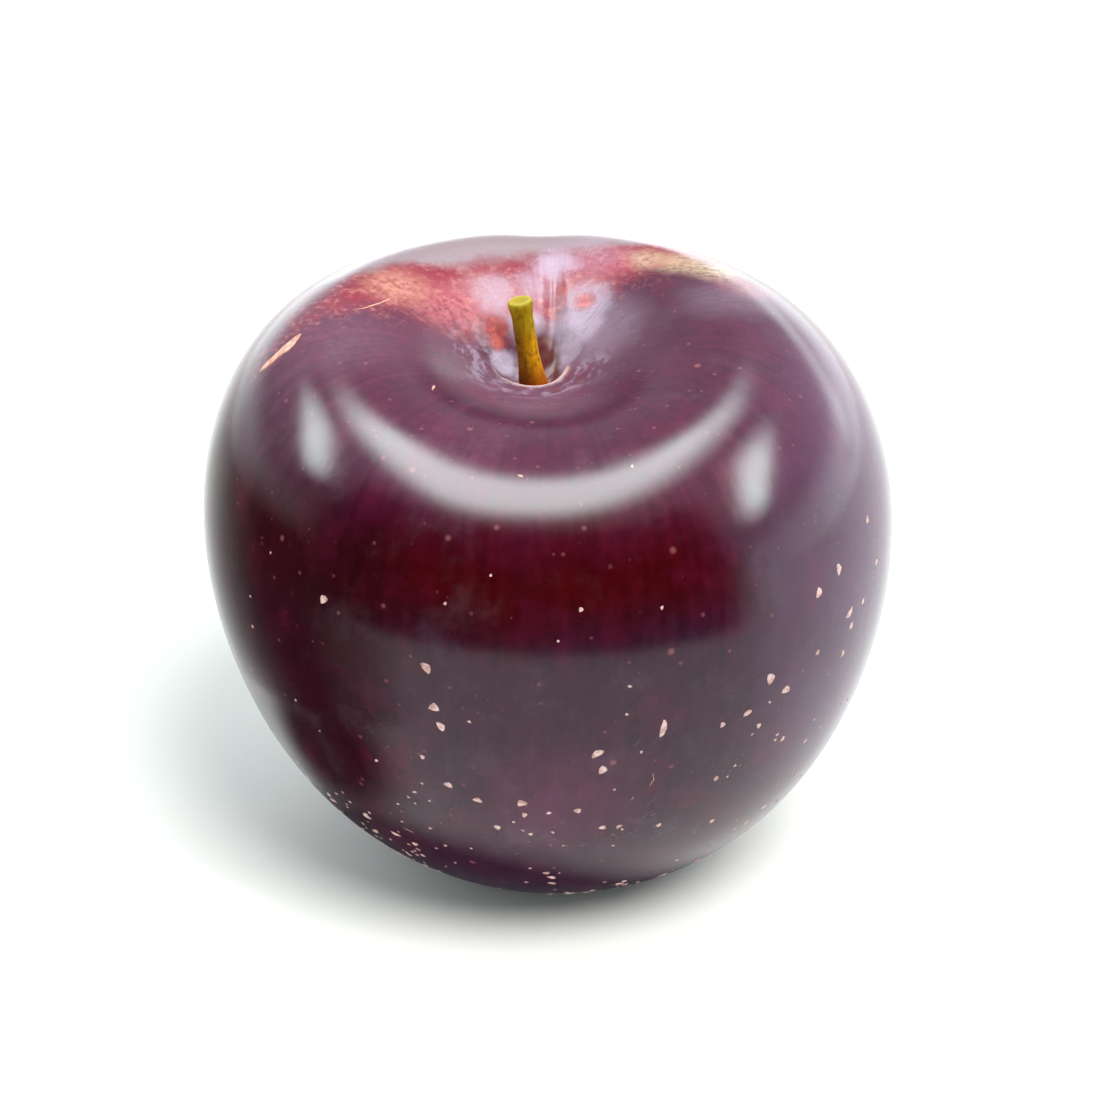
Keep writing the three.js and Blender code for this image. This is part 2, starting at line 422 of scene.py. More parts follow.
def skinMaterial():
    material, tree, shader = startMaterial("plumSkin")
    place = ownPlace(tree)
    x, y, z = coordinates(tree, place)
    edges = SimpleNamespace(**skinEdges)
    shares = SimpleNamespace(**skinShares)
    made = SimpleNamespace(**{name: noise(tree, place, *values) for name, values in skinNoises.items()})
    broad = made.broad - 0.5
    clouds = made.clouds - 0.5
    wandering = made.wandering - 0.5
    fine = made.fine
    streak = streaks(tree, x, y, z, across=30, along=6)
    thread = streaks(tree, x, y, z, across=45, along=30)
    away = ((x - stemX) * (x - stemX) + y * y).math("SQRT")
    arc = noise(tree, vector(tree, away + wandering * 1.5, x / 2, y / 2), 0.9, detail=4.0, roughness=0.7)
    top = smooth(z, *edges.topZ)

    def patched(patch, unrest=wandering):
        return patchShare(tree, place, unrest, *patch)

    def painted(share, name):
        return mixColour(tree, share, colour, skinColours[name] if isinstance(name, str) else name)

    def band(value, name):
        middle, width, power = skinBands[name]
        return bell(value - middle, width, power)

    # The dark ground: wine red in front, purple to the right, paler on the shoulders, and painted shade on
    # the left towards the front
    colour = skinColours["wine"]
    colour = painted(smooth(x + broad * 14, *edges.purpleX), "purple")
    colour = painted(smooth(z + broad * 6, *edges.lowZ), "low")
    # Painted shade: the left side, towards the front, is darkened to a deeper wine.
    leftLow = smooth(x + broad * 8, *edges.leftLowX) * smooth(y, *edges.leftLowY)
    colour = painted(leftLow * shares.leftLow, "leftLow")
    colour = painted(smooth(z + broad * 6, *edges.shoulderZ), "shoulder")
    leftShoulder = smooth(x + broad * 8, *edges.leftShoulderX) * smooth(z + y * 0.3, *edges.leftShoulderZ)
    colour = painted(leftShoulder, "leftShoulder")
    colour = painted(smooth(clouds, -0.02, 0.28) * (shares.magenta + top * shares.magentaTop), "magenta")
    for name, *patch in warmPatches:
        colour = painted(patched(patch, clouds), name)
    colour = painted(smooth(clouds, -0.02, -0.26) * shares.thinHaze, "haze")
    tone = 0.85 + smooth(streak, 0.3, 0.7) * 0.25 + wandering * 1.1 + (arc - 0.5) * top * 0.6
    colour = mixColour(tree, 1.0, colour, vector(tree, tone, tone, tone), "MULTIPLY")

    # The red ground behind the cavity
    behind = y - x * 0.35
    ground = smooth(behind + wandering * 9, *edges.redY) * smooth(z + broad * 12, *edges.redZ)
    ground = ground * smooth(x + wandering * 10 - y * 0.6, *edges.redX)
    colour = painted(ground * shares.red, "red")
    broken = smooth(fine + wandering * 0.6, 0.2, 0.75) + 0.25
    for name, *patch in groundPatches:
        colour = painted((patched(patch) * broken).math("MINIMUM", 1), name)

    # Speckles on the red ground, freckles all over, and wisps of haze low down
    speckle = smooth(made.grain + wandering * 0.3, 0.48, 0.75) * shares.speckle
    cork = dots(tree, place, cell=1.5, radius=0.36, share=0.7)
    speckle = speckle.math("MAXIMUM", cork * shares.corkSpeckle)
    speckle = speckle * smooth(behind + wandering * 8, *edges.speckleY) * smooth(z, *edges.speckleZ)
    speckle = speckle * smooth(away, *edges.speckleOut) * smooth(x - y * 0.6, *edges.speckleX)
    colour = painted(speckle, "speckle")
    freckle = dots(tree, place, cell=2.4, radius=0.42, share=0.5)
    small = dots(tree, place, cell=1.1, radius=0.24, share=0.35)
    colour = painted(freckle.math("MAXIMUM", small * shares.smallFreckle) * shares.freckle, "dots")
    slant = vector(tree, (x - z) * 1.1, y * 0.9, (x + z) * 0.22)
    wisp = smooth(noise(tree, slant, 1, detail=4.0, roughness=0.7), 0.57, 0.72)
    wisp = wisp * smooth(made.thin, 0.5, 0.64) * smooth(z, *edges.wispZ)
    colour = painted(wisp * shares.wisp, "haze")

    # A painted highlight along the pale crest behind the cavity, the hazy right side with its painted sheen,
    # and the bloom
    crest = band(z + wandering * 1.5, "crest") * smooth(y - x * 0.3 + clouds * 6, *edges.crestY)
    colour = painted(crest * smooth(x, *edges.crestX) * shares.crest, "crest")
    # The right side is hazed pale: partly waxy bloom, partly a painted sheen of the bright surround near its
    # edge.
    right = smooth(x + broad * 8, *edges.rightX) * smooth(z, *edges.rightZ)
    colour = painted(right * shares.edgeHaze, "edgeHaze")
    bloom = (smooth(broad + wandering * 0.4, 0.05, 0.3) + top) * shares.thinBloom
    for patch in bloomPatches:
        bloom = bloom.math("MAXIMUM", patched(patch))
    ragged = smooth(fine + wandering * 0.7, 0.2, 0.6) * 0.5 + smooth(thread, 0.3, 0.6) * 0.5
    bloom = bloom * (0.55 + ragged * 0.5)
    colour = painted(bloom.math("MINIMUM", 1), "bloom")

    # Red spots and the painted shade of the hollow behind the stem, and the cracked skin and pale lip round
    # the pit
    ember = mixColour(tree, smooth(fine + wandering * 2, 0.3, 0.7), skinColours["spot"], skinColours["ember"])
    for patch in redSpots:
        colour = painted(patched(patch), ember)
    # Painted shade: the hollow behind the stem's foot is darkened to a deep red, and the same dark red marks
    # the dark cracks.
    hollow = patched(hollowShades[0])
    for patch in hollowShades[1:]:
        hollow = hollow.math("MAXIMUM", patched(patch))
    colour = painted(hollow, "pit")
    left = smooth(x, *edges.crackX) * smooth(y, *edges.crackY)
    front = smooth(y, *edges.frontY)
    mouth = smooth(z, *edges.mouthZ)
    cracked = band(away, "cracks") * front.math("MAXIMUM", left) * mouth
    colour = painted(smooth(arc, 0.48, 0.6) * cracked * shares.paleCrack, "bloom")
    colour = painted(smooth(arc, 0.44, 0.36) * cracked * shares.darkCrack, "pit")
    lip = band(away - fruitSizes["pitMouth"] + wandering * 0.3, "lip") * front * mouth
    colour = painted(lip * shares.lip, "lip")
    # Painted shade: the skin is darkened to near black just above the floor, where the plum meets it.
    colour = painted(smooth(z + wandering * 2, *edges.baseZ) * shares.base, "base")

    gloss = SimpleNamespace(**skinGloss)
    worn = band(away, "worn") * smooth(z, *edges.wornZ) * shares.worn
    dull = bloom.math("MAXIMUM", worn) * (gloss.bloomRoughness - gloss.roughness)
    rough = gloss.roughness + dull + (fine - 0.5) * 0.06 + (streak - 0.5) * 0.08
    plug(shader.inputs["Base Color"], colour)
    plug(shader.inputs["Roughness"], rough * (1 - hollow * 0.4))
    shader.inputs["IOR"].default_value = gloss.index
    shader.inputs["Sheen Weight"].default_value = gloss.sheen
    shader.inputs["Sheen Roughness"].default_value = gloss.sheenRoughness
    shader.inputs["Sheen Tint"].default_value = (*gloss.sheenTint, 1)
    bump = {"Height": fine + streak, "Distance": 0.00001, "Strength": 0.4}
    plug(shader.inputs["Normal"], fromNode(tree, "ShaderNodeBump", bump))
    return material


stemColours = {"foot": (0.46, 0.085, 0.002), "middle": (0.76, 0.36, 0.002), "top": (0.42, 0.28, 0.004),
               "streak": (0.16, 0.08, 0.004), "shade": (0.1, 0.018, 0.003), "pith": (0.3, 0.22, 0.02),
               "bark": (0.38, 0.3, 0.02), "bruise": (0.24, 0.06, 0.002)}

# Soft edges of the stem's colours: by height, to the right, out from its axis, and up past its cut end.
stemEdges = {"middleZ": (48.5, 52), "topZ": (52, 55.3), "shadeZ": (56, 52), "shadeSide": (0.55, -0.5),
             "barkOut": (0.45, 0.85), "cutUp": (-0.25, -0.1)}


def stemMaterial():
    material, tree, shader = startMaterial("plumStem")
    place = ownPlace(tree)
    x, y, z = coordinates(tree, place)
    mottle = noise(tree, place, 0.8, detail=4.0, roughness=0.65)
    grain = noise(tree, vector(tree, x * 3.2, y * 3.2, z * 0.45), 1, detail=3.0)
    size = SimpleNamespace(**stemSizes)
    edges = SimpleNamespace(**stemEdges)
    outwards = x - size.footX
    height = z - size.footHeight
    side = outwards * math.cos(size.lean) + height * math.sin(size.lean)
    up = height * math.cos(size.lean) - outwards * math.sin(size.lean)
    bent = side - size.bend
    out = (bent * bent + y * y).math("SQRT")
    shade = smooth(side + (mottle - 0.5) * 1.4, *edges.shadeSide) * smooth(z, *edges.shadeZ)
    layers = [
        (smooth(z + mottle * 2, *edges.middleZ), "middle"),
        (smooth(z + mottle * 2, *edges.topZ), "top"),
        (smooth(grain, 0.5, 0.7) * 0.45, "streak"),
        (smooth(mottle, 0.52, 0.66) * 0.7, "bruise"),
        (smooth(grain, 0.42, 0.3) * 0.5, "top"),
        (shade * 0.7, "shade"),
    ]
    colour = stemColours["foot"]
    for share, name in layers:
        colour = mixColour(tree, share, colour, stemColours[name])
    bark = smooth(out + (mottle - 0.5) * 0.6, *edges.barkOut)
    face = mixColour(tree, bark, stemColours["pith"], stemColours["bark"])
    pastEnd = up - (size.length - size.rootDepth)
    colour = mixColour(tree, smooth(pastEnd, *edges.cutUp), colour, face)
    plug(shader.inputs["Base Color"], colour)
    shader.inputs["Roughness"].default_value = 0.55
    shader.inputs["Specular IOR Level"].default_value = 0.1
    bump = {"Height": mottle + grain, "Distance": 0.00008, "Strength": 0.6}
    plug(shader.inputs["Normal"], fromNode(tree, "ShaderNodeBump", bump))
    return material


dotColours = {"pale": (0.72, 0.5, 0.47), "tan": (0.46, 0.24, 0.2)}
scarColours = {"pale": (0.6, 0.34, 0.26), "tan": (0.4, 0.15, 0.08)}


def corkMaterial(name, colours):
    material, tree, shader = startMaterial(name)
    place = ownPlace(tree)
    grain = noise(tree, place, 0.5, detail=3.0)
    colour = mixColour(tree, smooth(grain, 0.35, 0.65), colours["pale"], colours["tan"])
    plug(shader.inputs["Base Color"], colour)
    shader.inputs["Roughness"].default_value = 0.55
    return material


# Fruit: one skin drawn round a middle point, with the cavity, the suture and the pit of the stem

def profileRadius(size, polar):
    return (size.meanRadius + size.topHeavy * cosine(polar) + size.lengthen * cosine(polar * 2)
            + size.broadShoulders * cosine(polar * 3) + size.square * cosine(polar * 4))


def sutureGroove(size, x, y, z):
    across = bell(x, size.sutureHalfWidth)
    back = smooth(y, size.sutureStart, size.sutureFull)
    return size.sutureDepth * across * back * smooth(z, size.sutureFoot, size.sutureTop)


# The skin at an angle down from the top and an angle round from +X.
def skinPlace(tree, size, polar, around):
    swell = size.cheekSwell * cosine((around - size.cheekTurn) * 2) * sine(polar) * sine(polar)
    reach = profileRadius(size, polar) + swell
    out = reach * sine(polar)
    height = size.middleHeight + reach * cosine(polar)
    groove = sutureGroove(size, out * cosine(around), out * sine(around), height)
    radius = out - groove * sine(polar)
    upper = smooth(polar, size.cavityNone, size.cavityFull)
    x = radius * cosine(around) + size.cavityShift * bell(radius, size.shiftReach) * upper
    y = radius * sine(around)
    z = height - groove * cosine(polar)
    z = z - size.cavityDepth * bell(radius, size.cavityWidth, size.cavityPower) * upper
    z = z - size.shoulderDrop * x * cosine(polar) * upper
    ahead = (y / size.frontSoftness * -1).math("EXPONENT")
    forward = size.frontSoftness * (ahead + 1).math("LOGARITHM", math.e)
    z = z - size.frontDrop * forward * cosine(polar) ** size.frontPower * upper
    x = x - size.lean * (z - size.middleHeight)
    return x, y, z


# Soft edges, front to back, of the wrinkles, the lip and the crease, and of the wider back of the pit.
pitEdges = {"wrinkleY": (6, 0), "lipY": (2.5, 0), "creaseY": (2.5, 5), "creaseEnd": (15, 9), "backY": (-1, 3)}


# The pit takes the foot of the stem and leans with it. Its lip is raised a little, and the skin is
# drawn into fine wrinkles round it and into one crease behind it.
def withPit(tree, size, x, y, z):
    edges = SimpleNamespace(**pitEdges)
    axisX = size.pitX - (z - size.pitFloor) * size.stemLean
    away = ((x - axisX) * (x - axisX) + y * y).math("SQRT")
    near = smooth(z, size.pitNone, size.pitFull)
    here = vector(tree, x, y, z)
    unrest = noise(tree, here, 2.6)
    fold = noise(tree, here, size.wrinkleSpacing) * 2 - 1
    ring = bell(away - size.wrinkleRadius, size.wrinkleReach)
    ring = ring * smooth(away, size.pitMouth, size.pitMouth + size.wrinkleStart) * smooth(y, *edges.wrinkleY)
    ring = ring * smooth(noise(tree, here, 3.5, detail=1.0), 0.3, 0.6)
    crease = bell(x - size.creaseX, size.creaseHalfWidth)
    crease = crease * smooth(y, *edges.creaseY) * smooth(y, *edges.creaseEnd)
    lip = bell(away - size.pitMouth - size.lipOut, size.lipWidth) * smooth(y, *edges.lipY)
    z = z + size.lipHeight * lip * near
    z = z + size.wrinkleDepth * fold * ring * near
    z = z - size.creaseDepth * crease * near
    mouth = size.pitMouth + size.pitBack * smooth(y, *edges.backY)
    mouth = mouth + size.pitSide * smooth((x - axisX) / away, 0, -1)
    inside = smooth(away + (unrest - 0.5) * 0.6, mouth, size.pitFloorRadius) ** size.pitCurve * near
    return z - (z - size.pitFloor) * inside


def fruitTree(sizes):
    tree, size = startTree("fruit", sizes)
    ball = addNode(tree, "GeometryNodeMeshUVSphere", {"Segments": size.segments, "Rings": size.rings})
    bx, by, bz = coordinates(tree, fromNode(tree, "GeometryNodeInputPosition"))
    share = bz.math("ARCCOSINE") / math.pi
    polar = share ** size.ringCrowding * math.pi
    x, y, z = skinPlace(tree, size, polar, by.math("ARCTAN2", bx))
    z = withPit(tree, size, x, y, z).math("MAXIMUM", 0)
    skin = placed(tree, ball.outputs["Mesh"], scaled(tree, vector(tree, x, y, z), mm))
    here = fromNode(tree, "GeometryNodeInputPosition")
    lump = noise(tree, scaled(tree, here, 1 / mm), size.lumpSize, detail=1.0) * size.lumpDepth * -mm
    aboveFlat = smooth(coordinates(tree, here)[2], 0, 4 * mm)
    inwards = scaled(tree, fromNode(tree, "GeometryNodeInputNormal"), lump * aboveFlat)
    endTree(tree, moved(tree, skin, inwards), size.material)
    return tree


fruitSizes["material"] = skinMaterial()
fruit = makePiece("plumFruit", fruitTree(fruitSizes), fruitSizes)


# Marks: pale dots of cork, dense and small near the base, and a few scars

dotSizes = {
    "seed": 11,
    "density": 170000.0,
    "smallest": 0.16,
    "largest": 0.44,
    "thickness": 0.14,
    "ragged": 0.12,
}

# Soft edges of the small dots: the low ones, the few high ones, more at the left, and where they grow larger.
dotEdges = {"lowZ": (33, 9), "highZ": (54, 46), "leftX": (8, -20), "leftZ": (24, 12), "growZ": (30, 16)}

# The larger dots of the front: degrees round from the front, height, radius, stretch and turn in degrees.
largeDots = [
    (-20, 34, 0.45, 1.6, 20), (-19, 30, 0.5, 1.2, 70), (-18, 28, 0.4, 1.6, 10), (-22, 24, 0.25, 1.2, 0),
    (-18, 21, 0.4, 1.2, 40), (-13, 19.5, 0.38, 1.4, 60), (-5, 19.5, 0.48, 1.2, 110), (-10, 16, 0.34, 1.3, 20),
    (8, 25.5, 0.42, 1.8, 130), (9, 23.5, 0.45, 1.3, 0), (5, 18.5, 0.36, 1.2, 50), (10, 16, 0.36, 1.2, 80),
    (19, 27.5, 0.36, 3.2, 12), (30, 26.5, 0.32, 1.2, 30), (35, 27, 0.36, 1.6, 140), (39, 30, 0.52, 1.3, 50),
    (43, 28, 0.48, 1.3, 120), (50, 36.5, 0.48, 1.2, 30), (56, 37.5, 0.44, 1.5, 60), (59, 32.5, 0.42, 1.8, 0),
    (60, 31, 0.36, 1.2, 20), (-39, 38, 0.42, 1.3, 90), (5, 40, 0.22, 1.2, 0), (-6, 51, 0.2, 1.6, 60),
    (50, 30.5, 0.32, 1.2, 0), (58, 28.5, 0.36, 1.3, 40), (38, 25, 0.3, 1.2, 70), (45, 22, 0.3, 1.4, 20),
    (53, 20, 0.3, 1.2, 90), (31, 20, 0.32, 1.2, 10), (34, 14, 0.32, 1.2, 50), (44, 11, 0.28, 1.2, 0),
    (68, 39.5, 0.36, 1.3, 30), (70, 35, 0.36, 1.2, 80), (64, 32.5, 0.3, 1.3, 0),
]


# The skin, the place of a point, the nearest place on the skin, and the way out of the skin there.
def nearSkin(tree, piece):
    skin = addNode(tree, "GeometryNodeObjectInfo", {"Object": piece}).outputs["Geometry"]
    position = fromNode(tree, "GeometryNodeInputPosition")
    nearest = []
    for value in (position, fromNode(tree, "GeometryNodeInputNormal")):
        values = {"Mesh": skin, "Value": value, "Sample Position": position}
        nearest.append(fromNode(tree, "GeometryNodeSampleNearestSurface", values, data_type="FLOAT_VECTOR"))
    return skin, position, *nearest


def random01(tree, low, high, seed):
    values = {2: low, 3: high, "Seed": seed}
    return Field(addNode(tree, "FunctionNodeRandomValue", values, data_type="FLOAT").outputs[1])


def stored(tree, geometry, name, value):
    values = {"Geometry": geometry, "Name": name, "Value": value}
    return fromNode(tree, "GeometryNodeStoreNamedAttribute", values, data_type="FLOAT")


def named(tree, name):
    return Field(fromNode(tree, "GeometryNodeInputNamedAttribute", {"Name": name}, data_type="FLOAT"))


# One dot: a flat ball with a softly three-cornered outline.
def dotShape(tree, size):
    ball = addNode(tree, "GeometryNodeMeshUVSphere", {"Segments": 9, "Rings": 4, "Radius": 1.0})
    x, y, z = coordinates(tree, fromNode(tree, "GeometryNodeInputPosition"))
    corner = 0.85 + cosine(y.math("ARCTAN2", x) * 3) * 0.14
    return placed(tree, ball.outputs["Mesh"], vector(tree, x * corner, y * corner, z * size.thickness))


def dotTree(sizes):
    tree, size = startTree("dots", sizes)
    edges = SimpleNamespace(**dotEdges)
    skin, position, foot, out = nearSkin(tree, size.fruit)
    place = scaled(tree, position, 1 / mm)
    x, y, z = coordinates(tree, place)

    # Small dots, in clumps near the base and most of all at its left
    clump = smooth(noise(tree, place, 9), 0.45, 0.62)
    share = smooth(z, *edges.lowZ) * (clump * 0.85 + 0.15) + smooth(z, *edges.highZ) * 0.03
    density = share * size.density * (1 + smooth(x, *edges.leftX) * smooth(z, *edges.leftZ) * 2)
    scatter = {"Mesh": skin, "Density": density, "Seed": size.seed}
    small = fromNode(tree, "GeometryNodeDistributePointsOnFaces", scatter)
    chance = random01(tree, 0.0, 1.0, 3)
    growth = (size.largest - size.smallest) * chance * chance * chance * smooth(z, *edges.growZ)
    small = stored(tree, small, "size", size.smallest + growth)
    small = stored(tree, small, "stretch", random01(tree, 0.9, 1.6, 4))
    small = stored(tree, small, "turn", random01(tree, 0.0, math.tau, 5))
    large = placed(tree, fromNode(tree, "GeometryNodeMeshToPoints", {"Mesh": size.geometry}), foot)
    points = addNode(tree, "GeometryNodeJoinGeometry", {0: small})
    plug(points.inputs[0], large)

    # A dot on each point, turned to lie on the skin
    upright = fromNode(tree, "FunctionNodeAlignRotationToVector", {"Vector": out}, axis="Z")
    spin = fromNode(tree, "FunctionNodeEulerToRotation", {"Euler": vector(tree, 0, 0, named(tree, "turn"))})
    turned = fromNode(tree, "FunctionNodeRotateRotation", {0: upright, 1: spin}, rotation_space="LOCAL")
    wide = named(tree, "size") * mm
    scale = vector(tree, wide, wide * named(tree, "stretch"), wide)
    copies = {"Points": points.outputs[0], "Instance": dotShape(tree, size), "Rotation": turned,
              "Scale": scale}
    copies = fromNode(tree, "GeometryNodeInstanceOnPoints", copies)
    real = fromNode(tree, "GeometryNodeRealizeInstances", {"Geometry": copies})
    unrest = addNode(tree, "ShaderNodeTexNoise", {"Vector": place, "Scale": 1.6, "Detail": 1.0})
    away = vectorMath(tree, "SUBTRACT", unrest.outputs["Color"], (0.5, 0.5, 0.5))
    endTree(tree, moved(tree, real, scaled(tree, away, size.ragged * mm)), size.material)
    return tree


# Places on or near the skin, as loose points or as lines, with a number or two for each.
def startMesh(name, places, numbers, edges=()):
    mesh = bpy.data.meshes.new(name)
    mesh.from_pydata([Vector(place) * mm for place in places], edges, [])
    for title, values in numbers.items():
        mesh.attributes.new(title, "FLOAT", "POINT").data.foreach_set("value", values)
    return mesh


# A place near the skin of the front, where a ball as wide as the fruit has it.
def frontPlace(around, height):
    level = (height - fruitSizes["middleHeight"]) / fruitSizes["meanRadius"]
    return (*onCircle(around, fruitSizes["meanRadius"] * math.sqrt(1 - level * level)), height)


dotSizes["fruit"] = fruit
dotSizes["material"] = corkMaterial("plumDots", dotColours)
arounds, heights, radii, stretches, turns = zip(*largeDots)
dotStart = startMesh("largeDots", [frontPlace(*place) for place in zip(arounds, heights)],
                     {"size": radii, "stretch": stretches, "turn": [math.radians(turn) for turn in turns]})
skinDots = makePiece("plumSkinDots", dotTree(dotSizes), dotSizes, dotStart)


scarSizes = {"points": 24, "sides": 8, "flatness": 0.16, "sunk": 0.01, "ragged": 0.25}

# A corky scar, a hair scratch and fine scratches: the width in the middle, and the places each runs through.
scars = [
    (0.6, [(-25.9, -4.3, 50.6), (-24.5, -4.1, 51.8), (-23.2, -3.5, 52.8), (-22, -2.3, 53.5)]),
    (0.1, [(-18.2, 0, 54.7), (-16.6, 0.7, 54.6), (-15.1, 2.2, 54.5), (-13.6, 4.4, 54.4)]),
    (0.12, [(-10.3, -10.8, 51.9), (-10.1, -9.4, 51.7)]),
    (0.07, [(7.8, -25.5, 21), (8.6, -25.9, 22.5), (8.4, -26.4, 24.2)]),
    (0.06, [(6.4, -25.4, 20), (7.2, -25.7, 21.4)]),
    (0.07, [(-14, -22, 13.6), (-11.8, -22.6, 13)]),
]


def scarTree(sizes):
    tree, size = startTree("scars", sizes)
    _, position, foot, out = nearSkin(tree, size.fruit)
    line = fromNode(tree, "GeometryNodeMeshToCurve", {"Mesh": size.geometry})
    line = fromNode(tree, "GeometryNodeResampleCurve", {"Curve": line, "Count": size.points})
    line = placed(tree, line, foot)
    factor = Field(addNode(tree, "GeometryNodeSplineParameter").outputs["Factor"])
    taper = (factor * (1 - factor) * 4) ** 0.7
    ragged = 1 + (noise(tree, scaled(tree, position, 1 / mm), 0.9) - 0.5) * size.ragged * 4
    width = named(tree, "width") * mm * taper * ragged + 0.01 * mm
    ring = fromNode(tree, "GeometryNodeCurvePrimitiveCircle", {"Resolution": size.sides, "Radius": 1.0})
    tube = {"Curve": line, "Profile Curve": ring, "Scale": width, "Fill Caps": True}
    tube = fromNode(tree, "GeometryNodeCurveToMesh", tube)
    height = vectorMath(tree, "DOT_PRODUCT", vectorMath(tree, "SUBTRACT", position, foot), out)
    lift = scaled(tree, out, height * size.flatness - size.sunk * mm)
    endTree(tree, placed(tree, tube, vectorMath(tree, "ADD", foot, lift)), size.material)
    return tree


scarSizes["fruit"] = fruit
scarSizes["material"] = corkMaterial("plumScars", scarColours)
scarPlaces = []
scarWidths = []
scarEdges = []
for width, line in scars:
    first = len(scarPlaces)
    scarPlaces += line
    scarWidths += [width] * len(line)
    scarEdges += [(i, i + 1) for i in range(first, len(scarPlaces) - 1)]
scarStart = startMesh("scarLines", scarPlaces, {"width": scarWidths}, scarEdges)
skinScars = makePiece("plumSkinScars", scarTree(scarSizes), scarSizes, scarStart)


# Stem: a cut stalk that leans and bends a little, wider at its foot and at its cut end

stemSizes = {
    "sides": 48,
    "rings": 70,
    "capRings": 6,
    "length": 11.0,
    "lean": 0.16,
    "footRadius": 1.6,
    "footReach": 6.5,
    "shaftRadius": 1.05,
    "cutRadius": 1.25,
    "flareLength": 1.6,
    "bend": 0.15,
    "rootDepth": 2.0,
    "ridgeDepth": 0.025,
    "knotDepth": 0.1,
    "edgeRound": 0.5,
    "hollowDepth": 0.15,
    "footX": -1.4,
    "footHeight": 46.8,
}


def stemTree(sizes):
    tree, size = startTree("stem", sizes)
    rod = {"Vertices": size.sides, "Side Segments": size.rings, "Fill Segments": size.capRings, "Radius": 1.0,
           "Depth": 1.0}
    rod = addNode(tree, "GeometryNodeMeshCylinder", rod).outputs["Mesh"]
    px, py, pz = coordinates(tree, fromNode(tree, "GeometryNodeInputPosition"))
    along = (pz + 0.5) * size.length
    foot = smooth(along, size.footReach, 0)
    flare = smooth(along, size.length - size.flareLength, size.length)
    radius = (size.shaftRadius + (size.footRadius - size.shaftRadius) * foot
              + (size.cutRadius - size.shaftRadius) * flare)
    turn = py.math("ARCTAN2", px)
    ridges = sine(turn * 5 + along * 0.25) * 0.5 + sine(turn * 8 - along * 0.4)
    knots = noise(tree, vector(tree, px, py, along / 2.2), 1.1) - 0.5
    radius = radius - size.ridgeDepth * (1.5 - ridges) - size.knotDepth * (0.5 - knots)
    worn = smooth(along, size.length - size.edgeRound, size.length)
    radius = radius * (1 - worn * worn * 0.12)
    side = px * radius + size.bend * (along / size.length) ** 2
    out = (px * px + py * py).math("SQRT")
    hollow = smooth(out, 0.9, 0.2) * size.hollowDepth * smooth(along, size.length - 0.01, size.length)
    up = along - size.rootDepth - hollow - worn * knots * 0.2
    x = size.footX + side * cosine(size.lean) - up * sine(size.lean)
    z = size.footHeight + side * sine(size.lean) + up * cosine(size.lean)
    stalk = placed(tree, rod, scaled(tree, vector(tree, x, py * radius, z), mm))
    endTree(tree, stalk, size.material)
    return tree


stemSizes["material"] = stemMaterial()
stem = makePiece("plumStem", stemTree(stemSizes), stemSizes)
stem.visible_glossy = False    # the skin round the pit is too uneven to mirror it


# Studio, in metres: a pale floor and an even white surround. The soft boxes, the ring of light and the dark
# card, flags and discs show only in the gloss.

studio = {
    "horizon": 1.4,
    "frontHorizon": 1.2,
    "sky": 0.8,
    "tint": (0.93, 0.985, 1.05),
    "boxTint": (0.95, 1.12, 1.1),
    "floorSize": 12,
    "floorColour": (0.88, 0.88, 0.82),
    "floorRoughness": 0.7,
    "floorSun": 3.4,
    "floorSunAngle": 30,
    "floorSunTurn": (-40, 26),
    "boxGlow": 16,
    "boxHeight": 0.55,
    "middle": 0.031,
    "cardRadius": 0.122,
    "cardHalfAngle": 71,
    "cardTurn": 7,
    "cardSoftAngle": 0.2,
    "cardTop": 0.201,
    "cardSoftTop": 0.05,
    "ringRadius": 0.5,
    "ringGlow": 1.5,
    "ringEnds": (60, 300),
    "ringSoftEnd": 50,
    "ringLevels": [(0, 1), (8, 1), (14, 0.5), (20, 0)],
    "keySize": 1.4,
    "keyPower": 21,
    "keyPlace": (0.25, 0.2, 1.1),
}


# A material without its usual shader, and the place where its surface goes.
def startSurface(name):
    material, tree, shader = startMaterial(name)
    tree.nodes.remove(shader)
    return material, tree, tree.nodes["Material Output"].inputs["Surface"]


def lampSurface(tree, strength):
    return fromNode(tree, "ShaderNodeEmission", {"Color": (*studio["boxTint"], 1), "Strength": strength})


# Shows a surface, or plain black, by a share, and is clear for the rest.
def partlyClear(tree, share, surface=None):
    clear = fromNode(tree, "ShaderNodeBsdfTransparent")
    surface = surface or fromNode(tree, "ShaderNodeEmission", {"Strength": 0.0})
    return fromNode(tree, "ShaderNodeMixShader", {"Fac": share, 1: clear, 2: surface})


# The share of light or of dark that a point of a mesh carries, which fades out towards its edges.
def pointShare(tree):
    return Field(addNode(tree, "ShaderNodeAttribute", attribute_name="share").outputs["Fac"])


def addStage(name, vertices, faces, material, glossOnly=True):
    mesh = bpy.data.meshes.new(name)
    mesh.from_pydata(vertices, [], faces)
    mesh.materials.append(material)
    thing = addObject(name, mesh)
    if glossOnly:
        thing.visible_camera = False
        thing.visible_diffuse = False
        thing.visible_shadow = False
        thing.visible_transmission = False
    return mesh


# The corners of a level square round a middle.
def square(x, y, z, half):
    low = (x - half, y - half)
    high = (x + half, y + half)
    return [(*low, z), (high[0], low[1], z), (*high, z), (low[0], high[1], z)]


# A sheet of columns and rows of vertices, each with its share.
def addSheet(name, vertices, shares, rows, material):
    faces = [(i + k, i + rows + k, i + rows + k + 1, i + k + 1)
             for i in range(0, len(vertices) - rows, rows) for k in range(rows - 1)]
    mesh = addStage(name, vertices, faces, material)
    mesh.attributes.new("share", "FLOAT", "POINT").data.foreach_set("value", shares)


